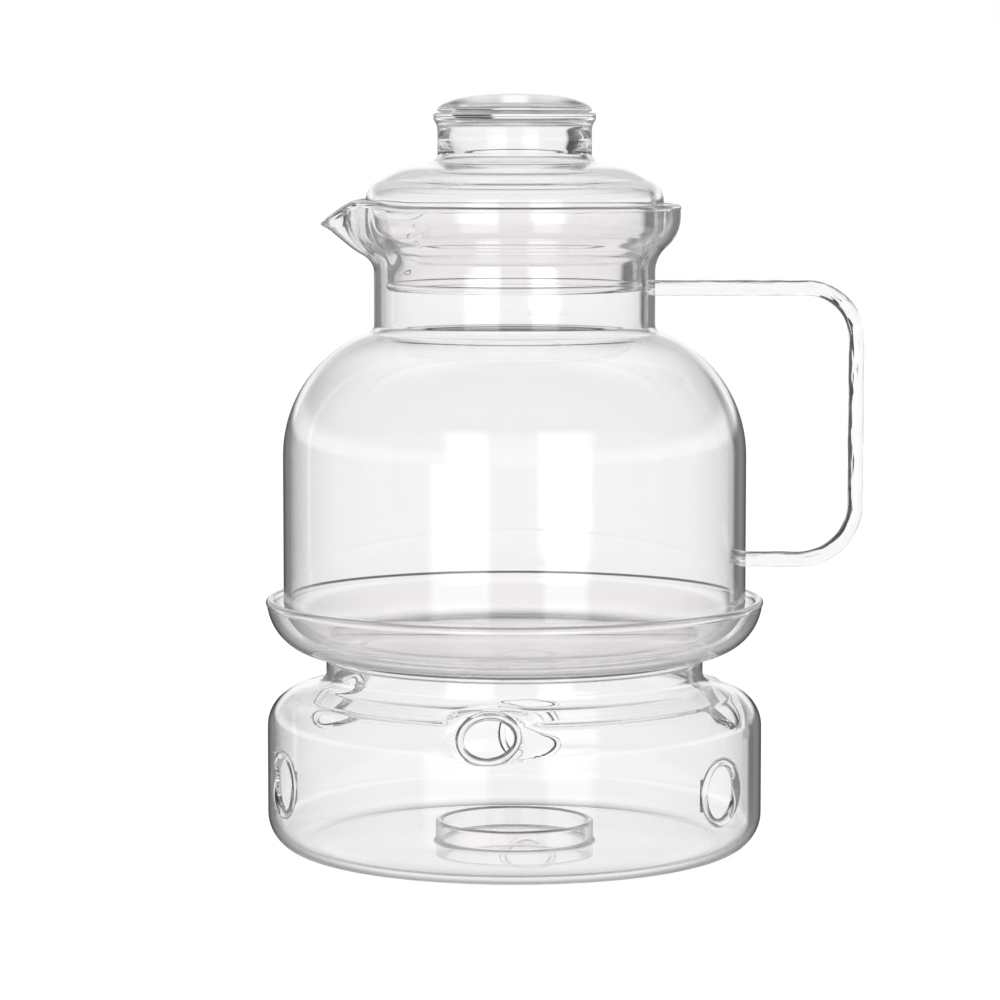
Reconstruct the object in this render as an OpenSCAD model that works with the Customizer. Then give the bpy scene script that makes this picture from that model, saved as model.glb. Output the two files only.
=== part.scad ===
// Glass teapot on a drum-shaped glass tealight warmer.
// Every blown piece is a revolved wall: a path of arcs for its outside, and
// the same path moved inwards by the glass thickness.
// Origin: centre of the warmer's flat base. +Z up, spout to -X, handle to +X.

/* [Warmer] */
// How far the drum's wall stands out past the dish's
drum_overhang = 0; // [-4:0.5:8]
// Height from the base to the top of the neck's rim
drum_h = 59.5; // [56:0.1:70]
// Glass thickness of the drum
drum_wall = 2; // [1.5:0.1:3]
// Radius of the corner between base and wall
drum_foot_r = 11.4; // [6:0.2:14]
// Radius of the rounded edge between wall and shoulder
drum_shoulder_r = 11; // [8:0.2:13]
// Height of the neck above the sloping shoulder
drum_neck_h = 8.3; // [7:0.1:12]
// Slope of the shoulder, in degrees
drum_shoulder_slope = 17; // [12:0.5:22]
// How far the neck stands in from the edge of the dish's flat floor
drum_neck_inset = 1.4; // [0.4:0.2:4]

/* [Vents] */
// Radius of the clear hole in a lower vent
vent_low_r = 7.75; // [5:0.05:8.5]
// Radius of the clear hole in an upper vent
vent_high_r = 7.2; // [5:0.05:8]
// Diameter of the fused bead around a vent
vent_bead = 2.8; // [2.4:0.1:3.4]
// Height of the lower vents' centres
vent_low_z = 23.4; // [20:0.2:26]
// Directions of the lower vents, counted from the front towards +X
vent_low_at = [-68, 55, 176]; // [-180:1:180]
// Directions of the upper vents, counted from the front towards +X
vent_high_at = [-6.5, 110, -126]; // [-180:0.5:180]
// Angles of the upper vents above the horizontal
vent_high_tilt = [47, 31, 31]; // [28:1:48]

/* [Tealight ring] */
// Outer radius of the ring that centres the tealight
ring_r = 24; // [21:0.5:32]
// Height of the ring above the floor of the drum
ring_h = 6.5; // [5:0.2:14]
// Glass thickness of the ring
ring_wall = 1.9; // [1.5:0.1:3]

/* [Dish] */
// Space between the jug and the dish's wall
dish_space = 2.9; // [2.2:0.1:6]
// Outward lean of the dish's wall, in degrees
dish_lean = 8; // [2:1:12]
// Length of the straight wall above the curve
dish_rim_h = 0.9; // [0.5:0.1:6]
// Glass thickness of the dish
dish_wall = 2.1; // [1.5:0.1:2.6]
// Diameter of the bead around the dish's rim
dish_bead = 2.6; // [2.4:0.1:3.4]

/* [Jug] */
// Outer radius of the jug's body
jug_r = 70; // [62:0.5:80]
// Glass thickness of the jug
jug_wall = 2; // [1.5:0.1:2.4]
// Radius of the corner between the jug's base and its wall
jug_foot_r = 14.2; // [12:0.2:17]
// Height of the jug's upright wall, above the corner
jug_wall_h = 43.5; // [30:0.2:80]
// Radius of the domed shoulder
dome_r = 39.3; // [34:0.2:44]
// Outer radius of the neck
neck_r = 42.4; // [38:0.2:46]
// Height of the neck, between the dome and the flare
neck_h = 15.8; // [13:0.2:24]
// Radius of the hollow curve where dome and neck meet
neck_fillet_r = 2.6; // [2.2:0.1:5]
// How far the flared mouth stands out past the neck
flare_reach = 7.6; // [7:0.1:10]
// Radius of the flare's lower, hollow curve
flare_low_r = 10; // [8:0.2:12]
// Radius of the flare's upper, full curve
flare_high_r = 12; // [10:0.2:14]
// Height of the straight rim above the flare
mouth_h = 2.6; // [1:0.1:6]
// Diameter of the bead around the mouth
mouth_bead = 2.4; // [2.4:0.1:3.2]

/* [Spout] */
// How far the pouring tip stands out from the mouth
tip_reach = 8.2; // [4:0.2:12]
// How far the pouring tip lies below the rim
tip_drop = 6.2; // [3:0.2:8]
// How far the lips beside the tip stand above the rim
lip_rise = 1.4; // [0:0.1:3]
// Depth of the two pinched folds that shape the channel
pinch_depth = 1.7; // [0.6:0.1:1.9]
// Half of the angle that the spout takes of the mouth
spout_half = 66; // [62:1:80]

/* [Handle] */
// Distance from the jug's wall to the middle of the upright
handle_reach = 33.2; // [28:0.1:44]
// Distance of the upper bar below the flare
handle_top_drop = 4.9; // [4:0.1:9]
// Height of the lower bar above the corner of the jug's base
handle_low_up = 11.6; // [8:0.1:20]
// Thickness of the rod, in the plane of the handle
rod_t = 5; // [4:0.1:6.4]
// Width of the rod, across the plane of the handle
rod_w = 8; // [6:0.1:10]
// Radius of the upper bend, at the middle of the rod
bend_top_r = 15; // [10:0.5:20]
// Radius of the lower bend, at the middle of the rod
bend_low_r = 17; // [12:0.5:22]
// How far the fused welds stand out around the rod
weld_rise = 0.7; // [0.4:0.1:1.5]
// Length of a weld between the jug and the rod
weld_l = 2.4; // [1.4:0.1:3.4]

/* [Lid] */
// Space between the lid's side and the mouth
lid_space = 3.1; // [2.6:0.1:4]
// Space between the lid's skirt and the neck
skirt_space = 2.1; // [1.6:0.1:4.4]
// Length of the skirt, below its hollow curve
skirt_h = 6.9; // [3:0.2:20]
// Diameter of the bead around the skirt's end
skirt_bead = 2.6; // [2.3:0.1:3]
// Glass thickness of the lid
lid_wall = 1.8; // [1.4:0.1:2.2]
// Radius of the full curve that rests in the flare
lid_seat_r = 9; // [7.4:0.2:10]
// Height of the lid's upright side, above that curve
lid_side_h = 7.6; // [4:0.2:12]
// Radius of the lid's rounded upper edge
lid_edge_r = 7.2; // [5:0.2:9]
// Slope of the lid's roof
roof_slope = 19.5; // [12:0.5:24]
// Outer radius of the knob's waist
knob_r = 23.2; // [20:0.1:25]
// Height of the knob's waist
knob_h = 8.5; // [7.4:0.1:14]
// How far the knob's collar stands out past the waist
collar_reach = 1.2; // [1:0.1:4]
// Height of the knob's dome above the collar
button_h = 6.1; // [4:0.1:9]

/* [Clearances] */
// Gap under a piece that stands or hangs in another
seat_gap = 0.3; // [0.2:0.05:0.5]
// Gap left around a vent's bead, where it is fused to the drum
fuse_gap = 0.05; // [0.02:0.01:0.1]

/* [Hidden] */
$fn = 96;
glass = [0.80, 0.86, 0.88, 0.45];
thick_glass = [0.68, 0.76, 0.78, 0.6];

// Radii, from the jug outwards
dish_r = jug_r + dish_space + dish_wall;
dish_curve_r = jug_foot_r + seat_gap + dish_wall;
dish_flat_r = dish_r - dish_curve_r * cos(dish_lean);
drum_r = dish_r + drum_overhang;
drum_neck_r = dish_flat_r - drum_neck_inset;

// Warmer
drum_floor = drum_wall;
drum_shoulder_h = drum_h - drum_neck_h;
neck_bead = drum_wall + 0.5;
drum_fillet_r = 3.5;
low_ring_r = vent_low_r + vent_bead / 2;
high_ring_r = vent_high_r + vent_bead / 2;
shoulder_c = [drum_r - drum_shoulder_r,
    shoulder_line(drum_r - drum_shoulder_r) - drum_shoulder_r / cos(drum_shoulder_slope)];
// Cone round an upper vent: its angle, and how far it starts outside the ring
dimple_angle = 40;
dimple_lip = 1.2;
dimple_h = 12;
// Length of the cutter for a vent's hole, and a lower ring's place in the wall
vent_cut_h = 16;
vent_low_sink = 0.3;
// Extra length by which a cutter passes the faces that it cuts
past = 1;

// Height of the shoulder's outside at radius r
function shoulder_line(r) =
    drum_shoulder_h - (r - drum_neck_r) * tan(drum_shoulder_slope);

// Middle of an upper vent: its flat ring reaches from the middle of the wall,
// below, to the middle of the shoulder's glass, above.
function vent_high_c(tilt) = let (r = drum_r - drum_wall / 2)
    [r - high_ring_r * sin(tilt),
        shoulder_line(r - 2 * high_ring_r * sin(tilt))
        - drum_wall / 2 / cos(drum_shoulder_slope) - high_ring_r * cos(tilt)];

// Dish
dish_z = drum_h + seat_gap;
dish_end = [dish_r, dish_z + dish_curve_r * (1 - sin(dish_lean))]
    + dish_rim_h * [sin(dish_lean), cos(dish_lean)];
dish_rim_c = dish_end + dish_wall / 2 * [-cos(dish_lean), sin(dish_lean)];

// Jug
jug_z = dish_z + dish_wall + seat_gap;
mouth_r = neck_r + flare_reach;
dome_c = [jug_r - dome_r, jug_z + jug_foot_r + jug_wall_h];
neck_fillet_c = [neck_r + neck_fillet_r,
    dome_c[1] + sqrt(pow(dome_r + neck_fillet_r, 2)
        - pow(neck_r + neck_fillet_r - dome_c[0], 2))];
dome_end = atan2(neck_fillet_c[1] - dome_c[1], neck_fillet_c[0] - dome_c[0]);
flare_z = neck_fillet_c[1] + neck_h;
flare_turn = acos(1 - (mouth_r - neck_r) / (flare_low_r + flare_high_r));
flare_top_z = flare_z + (flare_low_r + flare_high_r) * sin(flare_turn);
mouth_c = [mouth_r - jug_wall / 2, flare_top_z + mouth_h];
mouth_z = mouth_c[1] + mouth_bead / 2;

// Spout, in degrees from its middle: where the lips and the folds lie, and how
// wide the tip's dip, its reach and the widening behind it are
lip_at = 26;
lip_half = 24;
dip_half = 17;
reach_half = 20;
swell_half = 40;
fold_at = 41;
fold_near = 12;
fold_far_low = 5;
fold_far_high = 22;
// Growth of the reach towards the rim, and how far the mouth swells behind the tip
reach_power = 3.2;
swell = 0.9;
// Shares of the spout's height at which a fold is deepest, widest and run out
fold_deep = 0.65;
fold_wide = 0.7;
fold_end = 0.92;
// Share of a fold's depth that shows inside, and the heights where that sets in
fold_inside = 0.55;
inside_from = 0.5;
inside_full = 0.7;

// Lid: its full lower curve rests against the flare's hollow curve.
lid_r = mouth_r - jug_wall - lid_space;
skirt_r = neck_r - jug_wall - skirt_space;
lid_seat_c = [lid_r - lid_seat_r,
    flare_z + sqrt(pow(lid_seat_r + seat_gap + flare_low_r + jug_wall, 2)
        - pow(neck_r + flare_low_r - lid_r + lid_seat_r, 2))];
skirt_curve_r = 3;
skirt_c = [skirt_r + skirt_curve_r,
    lid_seat_c[1] - sqrt(pow(lid_seat_r + skirt_curve_r, 2)
        - pow(skirt_r + skirt_curve_r - lid_seat_c[0], 2))];
skirt_turn = atan2(lid_seat_c[1] - skirt_c[1], lid_seat_c[0] - skirt_c[0]);
skirt_z = skirt_c[1] - skirt_h;
lid_edge_c = [lid_r - lid_edge_r, lid_seat_c[1] + lid_side_h];
roof_a = lid_edge_c + lid_edge_r * [cos(90 - roof_slope), sin(90 - roof_slope)];
knob_fillet_r = 4.5;
knob_c = [knob_r + knob_fillet_r,
    roof_a[1] + (roof_a[0] - knob_r - knob_fillet_r) * tan(roof_slope)
    + knob_fillet_r / cos(roof_slope)];
collar_r = knob_r + collar_reach;
collar_curve_r = 5;
collar_turn = acos(1 - (collar_r - knob_r) / collar_curve_r);
collar_z = knob_c[1] + knob_h;
button_edge = 2;
button_inset = 1.2;
button_r = collar_r - button_inset;

// Handle
handle_x = jug_r + handle_reach;
handle_top_z = flare_z - handle_top_drop;
handle_low_z = jug_z + jug_foot_r + handle_low_up;
rod_top_x = neck_r + weld_l;
rod_low_x = jug_r + weld_l;
weld_root = 4;

// ---- paths and walls ----

// Points along an arc round c, from angle a0 to a1
function arc(c, r, a0, a1, n = 12) =
    [for (i = [0 : n]) let (a = a0 + (a1 - a0) * i / n) c + r * [cos(a), sin(a)]];

function unit(v) = v / norm(v);

// The path moved to its left by t; ends keep the direction of their own edge
function inset(p, t) = [for (i = [0 : len(p) - 1])
    let (d = unit(p[min(i + 1, len(p) - 1)] - p[max(i - 1, 0)]))
    p[i] + t * [-d[1], d[0]]];

function reversed(p) = [for (i = [len(p) - 1 : -1 : 0]) p[i]];

// A path that starts on the axis keeps its first inner point there
function on_axis(p) = [for (q = p) [max(q[0], 0), q[1]]];

module wall(path, t) {
    rotate_extrude() polygon(concat(path, reversed(on_axis(inset(path, t)))));
}

module bead(c, d) {
    rotate_extrude() translate(c) circle(d = d);
}

// ---- warmer ----

drum_path = concat([[0, 0]],
    arc([drum_r - drum_foot_r, drum_foot_r], drum_foot_r, -90, 0, 9),
    arc(shoulder_c, drum_shoulder_r, 0, 90 - drum_shoulder_slope, 10),
    arc([drum_neck_r + drum_fillet_r, shoulder_line(drum_neck_r + drum_fillet_r)
        + drum_fillet_r / cos(drum_shoulder_slope)],
        drum_fillet_r, 270 - drum_shoulder_slope, 180, 6),
    [[drum_neck_r, drum_h - neck_bead / 2]]);

// Places a vent: local +Z points out of the drum
module at_low_vent(i) {
    rotate([0, 0, vent_low_at[i] - 90])
        translate([drum_r - drum_wall / 2 - vent_low_sink, 0, vent_low_z])
            rotate([0, 90, 0]) children();
}

module at_high_vent(i) {
    c = vent_high_c(vent_high_tilt[i]);
    rotate([0, 0, vent_high_at[i] - 90]) translate([c[0], 0, c[1]])
        rotate([0, 90 - vent_high_tilt[i], 0]) children();
}

module vent_rim(r, gap = 0) {
    rotate_extrude() translate([r, 0]) circle(d = vent_bead + 2 * gap);
}

// What a vent takes out of the wall: its hole and the seat of its bead
module vent_cut(r) {
    cylinder(h = vent_cut_h, r = r, center = true);
    vent_rim(r, fuse_gap);
}

// The glass round an upper vent is drawn in to its flat ring, as a cone
module vent_dimple(t) {
    r = high_ring_r + dimple_lip + t * (1 / sin(dimple_angle) - 1) * tan(dimple_angle);
    translate([0, 0, drum_wall / 2 - t])
        cylinder(h = dimple_h, r1 = r, r2 = r + dimple_h * tan(dimple_angle));
}

module drum_form(path, t) {
    difference() {
        rotate_extrude() polygon(concat(on_axis(path), [[0, path[len(path) - 1][1]]]));
        for (i = [0 : 2]) at_high_vent(i) vent_dimple(t);
    }
}

module warmer_drum() {
    color(glass) difference() {
        union() {
            difference() {
                drum_form(drum_path, 0);
                drum_form(inset(drum_path, drum_wall), drum_wall);
                translate([0, 0, drum_h - neck_bead / 2 - past])
                    cylinder(h = neck_bead + 2 * past, r = drum_neck_r - drum_wall);
            }
            bead([drum_neck_r - drum_wall / 2, drum_h - neck_bead / 2], neck_bead);
        }
        for (i = [0 : 2]) {
            at_low_vent(i) vent_cut(low_ring_r);
            at_high_vent(i) vent_cut(high_ring_r);
        }
    }
}

module vent_rim_low(i) { color(thick_glass) at_low_vent(i) vent_rim(low_ring_r); }
module vent_rim_high(i) { color(thick_glass) at_high_vent(i) vent_rim(high_ring_r); }

module tealight_ring() {
    color(thick_glass) rotate_extrude() {
        translate([ring_r - ring_wall, drum_floor]) square([ring_wall, ring_h - ring_wall / 2]);
        translate([ring_r - ring_wall / 2, drum_floor + ring_h - ring_wall / 2])
            circle(d = ring_wall);
    }
}

// ---- dish ----

dish_path = concat([[0, dish_z]],
    arc([dish_flat_r, dish_z + dish_curve_r], dish_curve_r, -90, -dish_lean, 14),
    [dish_end]);

module dish() {
    color(glass) {
        wall(dish_path, dish_wall);
        bead(dish_rim_c, dish_bead);
    }
}

// ---- jug ----

flare_path = concat(
    arc([neck_r + flare_low_r, flare_z], flare_low_r, 180, 180 - flare_turn, 6),
    arc([mouth_r - flare_high_r, flare_top_z], flare_high_r, -flare_turn, 0, 6),
    [[mouth_r, mouth_c[1]]]);

jug_path = concat([[0, jug_z]],
    arc([jug_r - jug_foot_r, jug_z + jug_foot_r], jug_foot_r, -90, 0, 12),
    arc(dome_c, dome_r, 0, dome_end, 14),
    arc(neck_fillet_c, neck_fillet_r, 180 + dome_end, 180, 5),
    flare_path);

// The wedge of the flare and the mouth that the spout fills
module spout_sector() {
    r = 2 * mouth_r;
    translate([0, 0, flare_z]) linear_extrude(mouth_z - flare_z + 5)
        polygon([[0, 0], r * [-cos(spout_half), -sin(spout_half)], [-2 * r, 0],
            r * [-cos(spout_half), sin(spout_half)]]);
}

module jug_body() {
    color(glass) difference() {
        union() {
            wall(jug_path, jug_wall);
            bead(mouth_c, mouth_bead);
        }
        spout_sector();
    }
}

// Smooth hump of height 1, exactly zero beyond w on either side of c
function hump(x, c, w) = abs(x - c) < w ? 0.5 + 0.5 * cos(180 * (x - c) / w) : 0;

// Fold with a sharp valley at c, running out over wl and wr
function fold(x, c, wl, wr) = max(0, x < c ? 1 - (c - x) / wl : 1 - (x - c) / wr);

// Height that the rim gains in the lips beside the tip, and loses at the tip
function lip_up(a) = lip_rise * (hump(a, lip_at, lip_half) + hump(a, -lip_at, lip_half));
function tip_down(a) = (tip_drop + lip_rise / 2) * hump(a, 0, dip_half);

// Growth of the mouth towards the tip, at share t of the spout's height
function tip_out(a, t) = tip_reach * hump(a, 0, reach_half) * pow(t, reach_power)
    + swell * hump(a, 0, swell_half) * t * t;

// Depth of the pinched folds, deepest two thirds of the way up
function pinch(a, t) =
    pinch_depth * (t < fold_deep ? t / fold_deep
        : max(0, (fold_end - t) / (fold_end - fold_deep)))
    * fold(abs(a), fold_at, fold_near, fold_far_low
        + (fold_far_high - fold_far_low) * min(1, t / fold_wide));

function on_spout(p, a, inside) =
    let (t = max(0, (p[1] - flare_z) / (mouth_z - flare_z)),
        thin = !inside ? 1 : fold_inside
            * min(1, max(0, (t - inside_from) / (inside_full - inside_from))),
        r = p[0] + tip_out(a, t) - thin * pinch(a, t))
    [-r * cos(a), -r * sin(a),
        flare_z + t * (mouth_z - flare_z - tip_down(a)) + pow(t, 3) * lip_up(a)];

// One column of the spout: up the outside, round the lip, down the inside
spout_out = flare_path;
spout_lip = [for (i = [1 : 7]) mouth_c + mouth_bead / 2 * [cos(i * 22.5), sin(i * 22.5)]];
spout_in = reversed(inset(flare_path, jug_wall));
spout_cols = 44;
spout_rows = len(spout_out) + len(spout_lip) + len(spout_in);

function spout_column(a) = concat(
    [for (p = spout_out) on_spout(p, a, false)],
    [for (p = spout_lip) on_spout(p, a, p[0] < mouth_c[0])],
    [for (p = spout_in) on_spout(p, a, true)]);

module jug_spout() {
    n = spout_rows;
    points = [for (j = [0 : spout_cols])
        each spout_column(spout_half * (2 * j / spout_cols - 1))];
    sides = [for (j = [0 : spout_cols - 1]) for (i = [0 : n - 1])
        let (k = (i + 1) % n)
        each [[j * n + i, j * n + k, (j + 1) * n + k],
            [j * n + i, (j + 1) * n + k, (j + 1) * n + i]]];
    ends = [[for (i = [n - 1 : -1 : 0]) i], [for (i = [0 : n - 1]) spout_cols * n + i]];
    color(glass) polyhedron(points, concat(sides, ends));
}

// ---- handle ----

function oval(t, w) = [for (a = [0 : 15 : 345]) [t / 2 * cos(a), w / 2 * sin(a)]];

// A straight run of rod along +X; the oval's thickness lies along Z
module bar(x0, x1, z, t, w) {
    translate([x0, 0, z]) rotate([0, 90, 0]) linear_extrude(x1 - x0) polygon(oval(t, w));
}

// A quarter bend round c in the handle's plane, from angle a to a + 90
module bend(c, r, a) {
    translate([c[0], 0, c[1]]) rotate([90, 0, 0]) rotate([0, 0, a])
        rotate_extrude(angle = 90) translate([r, 0]) polygon(oval(rod_t, rod_w));
}

module handle_rod() {
    color(thick_glass) {
        bar(rod_top_x, handle_x - bend_top_r, handle_top_z, rod_t, rod_w);
        bend([handle_x - bend_top_r, handle_top_z - bend_top_r], bend_top_r, 0);
        translate([handle_x, 0, handle_low_z + bend_low_r])
            linear_extrude(handle_top_z - bend_top_r - handle_low_z - bend_low_r)
                polygon(oval(rod_t, rod_w));
        bend([handle_x - bend_low_r, handle_low_z + bend_low_r], bend_low_r, -90);
        bar(rod_low_x, handle_x - bend_low_r, handle_low_z, rod_t, rod_w);
    }
}

// A collar of glass melted on to a round wall of radius r
module weld(r, z) {
    difference() {
        bar(r - weld_root, r + weld_l, z, rod_t + 2 * weld_rise, rod_w + 2 * weld_rise);
        translate([0, 0, z - rod_w]) cylinder(h = 2 * rod_w, r = r, $fn = 360);
    }
}

module handle_weld_top() { color(thick_glass) weld(neck_r, handle_top_z); }
module handle_weld_low() { color(thick_glass) weld(jug_r, handle_low_z); }

// ---- lid ----

lid_path = concat(
    [[skirt_r, skirt_z]],
    arc(skirt_c, skirt_curve_r, 180, skirt_turn, 5),
    arc(lid_seat_c, lid_seat_r, skirt_turn - 180, 0, 8),
    arc(lid_edge_c, lid_edge_r, 0, 90 - roof_slope, 8),
    arc(knob_c, knob_fillet_r, 270 - roof_slope, 180, 6),
    arc([knob_r + collar_curve_r, collar_z - collar_curve_r * sin(collar_turn)],
        collar_curve_r, 180, 180 - collar_turn, 4));

module lid_body() {
    color(glass) {
        intersection() {
            wall(lid_path, lid_wall);
            translate([0, 0, skirt_z - past])
                cylinder(h = collar_z - skirt_z + past, r = 2 * lid_r);
        }
        bead([skirt_r - lid_wall / 2, skirt_z], skirt_bead);
    }
}

// Radius of the sphere whose cap is h high over a circle of radius r
function cap_r(r, h) = (r * r + h * h) / (2 * h);

module lid_knob() {
    top = collar_z + button_edge + button_h;
    out_r = cap_r(button_r, button_h);
    color(thick_glass) {
        translate([0, 0, collar_z]) cylinder(h = button_edge, r = collar_r - button_edge / 2);
        bead([collar_r - button_edge / 2, collar_z + button_edge / 2], button_edge);
        intersection() {
            translate([0, 0, top - out_r]) sphere(out_r);
            translate([0, 0, collar_z + button_edge / 2])
                cylinder(h = button_edge / 2 + button_h, r = button_r);
        }
    }
}

warmer_drum();
vent_rim_low(0);  // vent_rim_low_1
vent_rim_low(1);  // vent_rim_low_2
vent_rim_low(2);  // vent_rim_low_3
vent_rim_high(0);  // vent_rim_high_1
vent_rim_high(1);  // vent_rim_high_2
vent_rim_high(2);  // vent_rim_high_3
tealight_ring();
dish();
jug_body();
jug_spout();
handle_rod();
handle_weld_top();
handle_weld_low();
lid_body();
lid_knob();
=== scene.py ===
import math

import bpy
import numpy as np
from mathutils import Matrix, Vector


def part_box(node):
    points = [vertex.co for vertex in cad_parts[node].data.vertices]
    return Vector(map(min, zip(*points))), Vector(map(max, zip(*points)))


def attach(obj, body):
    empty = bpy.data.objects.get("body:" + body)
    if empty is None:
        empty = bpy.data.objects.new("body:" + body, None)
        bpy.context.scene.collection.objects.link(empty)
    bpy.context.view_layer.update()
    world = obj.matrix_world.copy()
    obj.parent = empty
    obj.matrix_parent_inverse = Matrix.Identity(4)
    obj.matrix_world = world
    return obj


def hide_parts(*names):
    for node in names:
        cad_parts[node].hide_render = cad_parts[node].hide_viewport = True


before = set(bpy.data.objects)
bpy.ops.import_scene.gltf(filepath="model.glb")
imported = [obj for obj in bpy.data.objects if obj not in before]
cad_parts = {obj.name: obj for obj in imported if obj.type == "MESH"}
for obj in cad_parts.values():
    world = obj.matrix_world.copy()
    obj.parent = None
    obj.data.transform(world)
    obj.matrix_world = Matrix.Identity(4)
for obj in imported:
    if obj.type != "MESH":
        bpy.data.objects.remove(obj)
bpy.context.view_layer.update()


# ---- camera ----
# A long lens, a little above the teapot's middle, that looks straight at its
# front with the spout to the left.

camera = bpy.data.objects.new("camera", bpy.data.cameras.new("camera"))
camera.data.sensor_width = 36
camera.data.lens = 147.6
camera.location = (-0.0044, -1.237, 0.2218)
camera.rotation_euler = (math.radians(84.649), 0, 0)
bpy.context.collection.objects.link(camera)
bpy.context.scene.camera = camera


# ---- studio ----
# A white cove. Glass shows only what surrounds it, so the world holds both what
# the glass bends into view, white with a dark band below the horizon, and what
# it mirrors: a dim room with two tall soft panels in front.

scene = bpy.context.scene
scene.view_settings.view_transform = "Standard"
bounces = 32
scene.cycles.max_bounces = bounces
scene.cycles.transmission_bounces = bounces
scene.cycles.glossy_bounces = bounces
scene.cycles.transparent_max_bounces = bounces

# What is bent into view: (degrees above the horizon, brightness)
bent_light = ((-90, 0.95), (-62, 0.95), (-50, 0.1), (-26, 0.1), (-14, 1.0), (90, 1.0))
# A dark screen beside the cove, seen only by bent rays: from and to (degrees to
# the right of the front), with soft edges
screen_from, screen_to, screen_edge = 142, 171, 3
screen_dark = 0.06
# What is mirrored: (degrees to the right of the front, brightness)
mirrored_light = (
    (-180, 0.02), (-170, 0.05), (-160, 0.22), (-145, 0.28), (-90, 0.32), (-44, 0.42),
    (-40, 2.2), (-14, 2.2), (-11, 0.45), (13, 0.45), (16, 2.2), (34, 2.2), (38, 0.42),
    (90, 0.32), (136, 0.28), (137.5, 1.3), (139.5, 1.3), (141, 0.27), (160, 0.22),
    (170, 0.05), (180, 0.02))
# How much white is mirrored instead, from the floor and from the cove's top:
# (degrees above the horizon, share)
mirrored_white = (
    (-90, 1.0), (-45, 0.8), (-30, 0.35), (-12, 0.0), (1, 0.0), (3.5, 0.95), (8, 0.9), (12, 0.6),
    (90, 0.6))
# Straight to the back that white reaches lower: its height in degrees, how
# squarely a ray has to point to the back, and how far it may go to either side
back_white_from, back_white_full = -5, -3
far_back_from, far_back_full = 0.5, 0.6
back_white_half, back_white_edge = 0.08, 0.16
# The table in front of the teapot is dark: where that starts and is full
# (degrees above the horizon)
table_from, table_full = -6, -14
dark_table = 0.05
# The cove's top is only so wide: sideways rays that rise see the dark room
dark_side_from, dark_side_full = 0.35, 0.7
side_from, side_full = 8, 16
# The dark room above and behind the camera: where it starts and is full
# (degrees above the horizon), and how far to the back it reaches
dark_room = 0.06
dark_from, dark_full = 18, 34
dark_back_from, dark_back_end = -0.15, 0.35
room_light = 0.9
# The floor's glow, its paint, and the lighter paint that scattered light meets
floor_glow = 0.8
floor_white = 0.25
floor_bounce = 0.8
# A ray's depths are whole numbers, so more than this means at least one bounce
one_bounce = 0.5


def add(tree, kind, inputs=(), **properties):
    """A new node with its properties and its inputs, which are values or other nodes' outputs."""
    node = tree.nodes.new(kind)
    for name, value in properties.items():
        setattr(node, name, value)
    for name, value in dict(inputs).items():
        socket = node.inputs[name]
        if isinstance(value, bpy.types.NodeSocket):
            tree.links.new(value, socket)
        else:
            socket.default_value = value
    return node


def maths(tree, operation, *values):
    return add(tree, "ShaderNodeMath", enumerate(values), operation=operation).outputs[0]


def ramp(tree, angle, stops):
    """A grey that follows the stops as the angle goes from the first to the last."""
    low, high = stops[0][0], stops[-1][0]
    share = maths(tree, "DIVIDE", maths(tree, "SUBTRACT", angle, low), high - low)
    node = add(tree, "ShaderNodeValToRGB", {"Fac": share})
    elements = node.color_ramp.elements
    for i, (degrees, value) in enumerate(stops):
        element = elements[0] if i == 0 else elements[1] if i == 1 else elements.new(1)
        element.position = (degrees - low) / (high - low)
        element.color = (value, value, value, 1)
    return node.outputs[0]


def stepped(tree, value, start, end):
    """0 up to the start, 1 from the end on, and a smooth step between."""
    return add(tree, "ShaderNodeMapRange", {"Value": value, "From Min": start, "From Max": end},
               interpolation_type="SMOOTHSTEP").outputs[0]


def grey(value):
    return (value, value, value, 1)


def mixed(tree, share, first, second):
    """The first colour, with that share of the second."""
    return add(tree, "ShaderNodeMixRGB", {0: share, 1: first, 2: second}).outputs[0]


world = bpy.data.worlds.new("studio")
world.use_nodes = True
scene.world = world
tree = world.node_tree
tree.nodes.clear()
direction = add(tree, "ShaderNodeTexCoord").outputs["Generated"]
x, y, z = add(tree, "ShaderNodeSeparateXYZ", {0: direction}).outputs
height = maths(tree, "DEGREES", maths(tree, "ARCSINE", z))
turn = maths(tree, "DEGREES", maths(tree, "ARCTAN2", x, maths(tree, "MULTIPLY", y, -1)))
rays = add(tree, "ShaderNodeLightPath").outputs
mirrored = maths(tree, "GREATER_THAN", rays["Glossy Depth"], one_bounce)
room = mixed(tree, ramp(tree, height, mirrored_white), ramp(tree, turn, mirrored_light), grey(1.0))
aside = maths(tree, "ABSOLUTE", x)
far_back = maths(tree, "MULTIPLY", stepped(tree, y, far_back_from, far_back_full),
                 stepped(tree, aside, back_white_edge, back_white_half))
low_back = maths(tree, "MULTIPLY", stepped(tree, height, back_white_from, back_white_full), far_back)
room = mixed(tree, low_back, room, grey(1.0))
to_front = stepped(tree, y, dark_back_end, dark_back_from)
to_side = stepped(tree, aside, dark_side_from, dark_side_full)
above = maths(tree, "MULTIPLY", stepped(tree, height, dark_from, dark_full), to_front)
beside = maths(tree, "MULTIPLY", stepped(tree, height, side_from, side_full), to_side)
room = mixed(tree, maths(tree, "MAXIMUM", above, beside), room, grey(dark_room))
on_table = maths(tree, "MULTIPLY", stepped(tree, height, table_from, table_full), to_front)
room = mixed(tree, on_table, room, grey(dark_table))
screened = maths(tree, "MULTIPLY", stepped(tree, turn, screen_from, screen_from + screen_edge),
                 stepped(tree, turn, screen_to, screen_to - screen_edge))
bent = mixed(tree, screened, ramp(tree, height, bent_light), grey(screen_dark))
seen = mixed(tree, mirrored, bent, room)
scattered = maths(tree, "MINIMUM", rays["Diffuse Depth"], 1.0)
lit = mixed(tree, scattered, seen, grey(room_light))
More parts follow.
